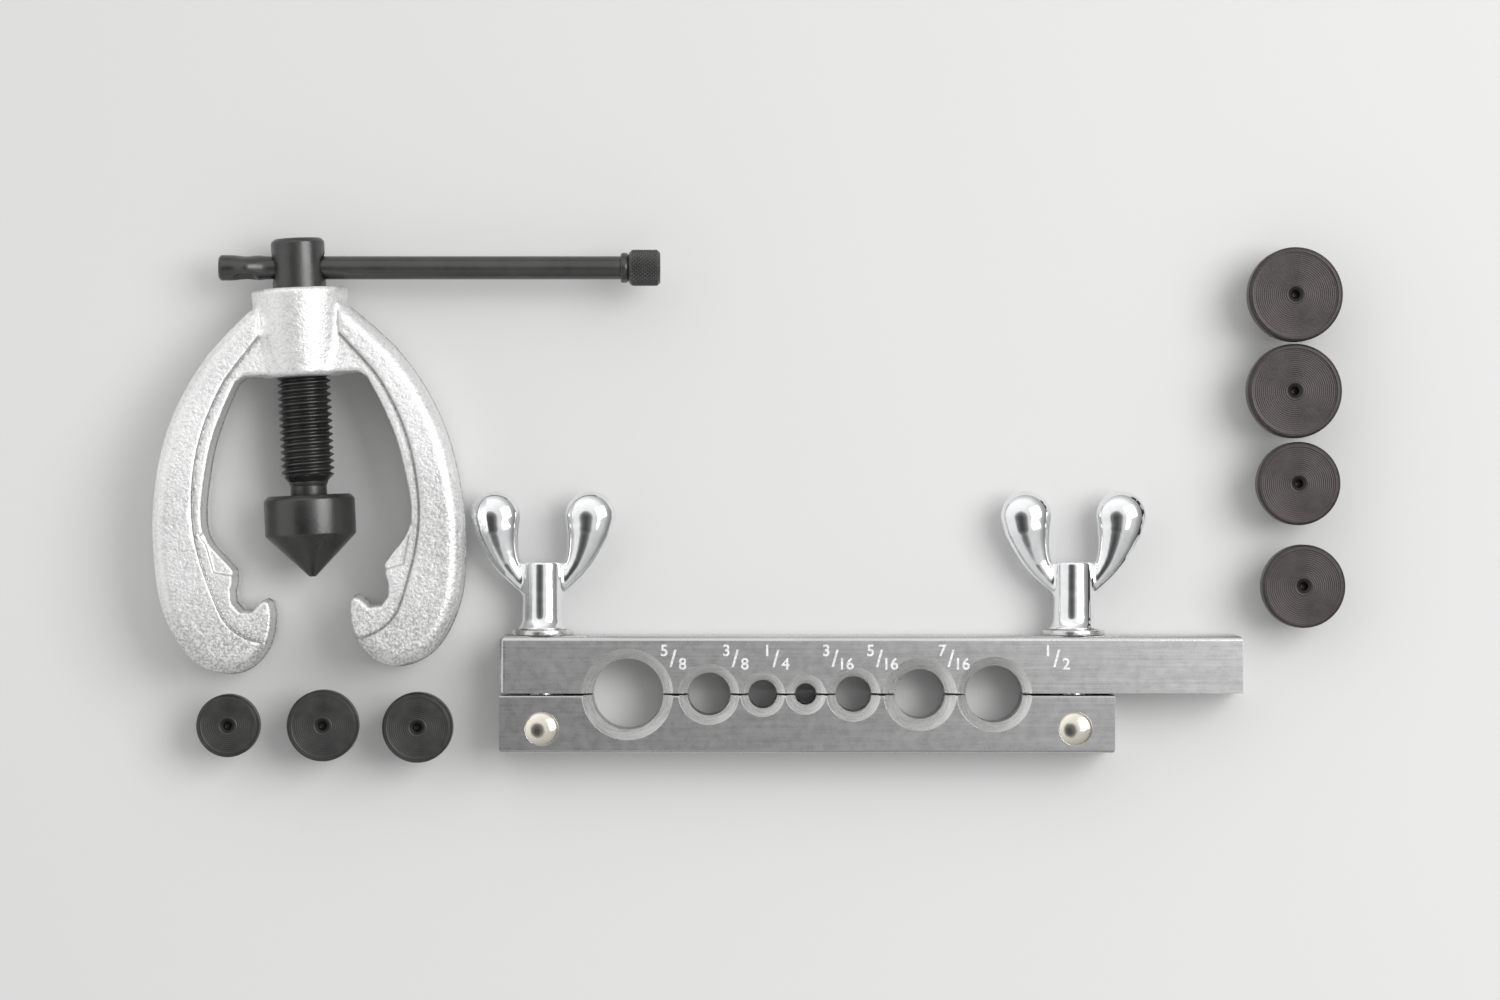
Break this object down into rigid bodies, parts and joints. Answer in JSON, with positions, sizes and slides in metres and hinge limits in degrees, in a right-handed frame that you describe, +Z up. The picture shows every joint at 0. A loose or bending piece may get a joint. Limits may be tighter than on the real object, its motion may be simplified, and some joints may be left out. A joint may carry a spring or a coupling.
{
  "type": "flaring tool",
  "caption": "Hand tool for flaring soft metal tube: split bar with graded holes and wing nuts, slip-on yoke with a screw-fed cone and T-bar, and loose double-flare adapters.",
  "frame": {"origin": "on the bench, under the middle of the whole layout's bounding box", "axes": "+X runs along the flaring bar towards the long jaw's free end, +Y from the bar towards the wing nuts, +Z up from the bench"},
  "size_m": [0.2663, 0.1176, 0.022],
  "materials": {
    "jaw_steel": "plated, lightly brushed",
    "zinc_washer": "bright zinc",
    "nut_chrome": "polished",
    "bolt_zinc": "zinc plated",
    "pin_polished": "polished, faintly warm",
    "yoke_silver": "silver coat over a grained casting",
    "black_steel": "black oxide",
    "cone_black": "black oxide, turned",
    "ball_steel": "polished bearing ball",
    "spring_steel": "phosphated",
    "adapter_black": "black oxide, turned face"
  },
  "bodies": {
    "bar": {"long_jaw": "jaw_steel", "left_washer": "zinc_washer", "right_washer": "zinc_washer"},
    "left_nut": {"left_wing_nut": "nut_chrome"},
    "right_nut": {"right_wing_nut": "nut_chrome"},
    "lower_jaw": {"short_jaw": "jaw_steel", "left_swing_bolt": "bolt_zinc", "right_swing_bolt": "bolt_zinc", "left_pivot_pin": "pin_polished", "right_pivot_pin": "pin_polished"},
    "yoke_frame": {"yoke": "yoke_silver"},
    "thrust_set": {"thrust_ball": "ball_steel", "retaining_ring": "spring_steel"},
    "screw": {"feed_screw": "black_steel"},
    "cone": {"flaring_cone": "cone_black"},
    "t_bar": {"t_bar_rod": "black_steel", "t_bar_knob": "black_steel"},
    "adapter_5_8_piece": {"adapter_5_8": "adapter_black"},
    "adapter_1_2_piece": {"adapter_1_2": "adapter_black"},
    "adapter_7_16_piece": {"adapter_7_16": "adapter_black"},
    "adapter_3_8_piece": {"adapter_3_8": "adapter_black"},
    "adapter_3_16_piece": {"adapter_3_16": "adapter_black"},
    "adapter_1_4_piece": {"adapter_1_4": "adapter_black"},
    "adapter_5_16_piece": {"adapter_5_16": "adapter_black"}
  },
  "joints": [
    {"name": "left_nut_turn", "type": "hinge", "parent": "bar", "child": "left_nut", "pos_m": [-0.0466, -0.02, 0.007], "axis": [0, 1, 0], "range_deg": [0, 1801]},
    {"name": "right_nut_turn", "type": "hinge", "parent": "bar", "child": "right_nut", "pos_m": [0.0727, -0.02, 0.007], "axis": [0, 1, 0], "range_deg": [0, 1801]},
    {"name": "short_jaw_drop", "type": "slide", "parent": "bar", "child": "lower_jaw", "axis": [0, -1, 0], "range_m": [0, 0.005]},
    {"name": "yoke_lift", "type": "slide", "parent": "bar", "child": "yoke_frame", "axis": [0, 0, 1], "range_m": [0, 0.1]},
    {"name": "feed_travel", "type": "slide", "parent": "yoke_frame", "child": "thrust_set", "axis": [-0.0454, 0.999, 0], "range_m": [0, 0.024]},
    {"name": "feed_screw_turn", "type": "hinge", "parent": "thrust_set", "child": "screw", "pos_m": [-0.1009, 0.0476, 0.011], "axis": [-0.0454, 0.999, 0], "range_deg": [0, 5761]},
    {"name": "cone_spin", "type": "hinge", "parent": "thrust_set", "child": "cone", "pos_m": [-0.1009, 0.0476, 0.011], "axis": [-0.0454, 0.999, 0], "continuous": true},
    {"name": "t_bar_slide", "type": "slide", "parent": "screw", "child": "t_bar", "axis": [1, 0, 0], "range_m": [-0.065, 0.0006]},
    {"name": "adapter_5_8_lift", "type": "slide", "parent": "bar", "child": "adapter_5_8_piece", "axis": [0, 0, 1], "range_m": [0, 0.05]},
    {"name": "adapter_1_2_lift", "type": "slide", "parent": "bar", "child": "adapter_1_2_piece", "axis": [0, 0, 1], "range_m": [0, 0.05]},
    {"name": "adapter_7_16_lift", "type": "slide", "parent": "bar", "child": "adapter_7_16_piece", "axis": [0, 0, 1], "range_m": [0, 0.05]},
    {"name": "adapter_3_8_lift", "type": "slide", "parent": "bar", "child": "adapter_3_8_piece", "axis": [0, 0, 1], "range_m": [0, 0.05]},
    {"name": "adapter_3_16_lift", "type": "slide", "parent": "bar", "child": "adapter_3_16_piece", "axis": [0, 0, 1], "range_m": [0, 0.05]},
    {"name": "adapter_1_4_lift", "type": "slide", "parent": "bar", "child": "adapter_1_4_piece", "axis": [0, 0, 1], "range_m": [0, 0.05]},
    {"name": "adapter_5_16_lift", "type": "slide", "parent": "bar", "child": "adapter_5_16_piece", "axis": [0, 0, 1], "range_m": [0, 0.05]}
  ],
  "couplings": [
    {"joint": "left_nut_turn", "follows": "short_jaw_drop", "rad_per_m": 6283.2},
    {"joint": "right_nut_turn", "follows": "short_jaw_drop", "rad_per_m": 6283.2},
    {"joint": "feed_screw_turn", "follows": "feed_travel", "rad_per_m": 4188.8}
  ]
}
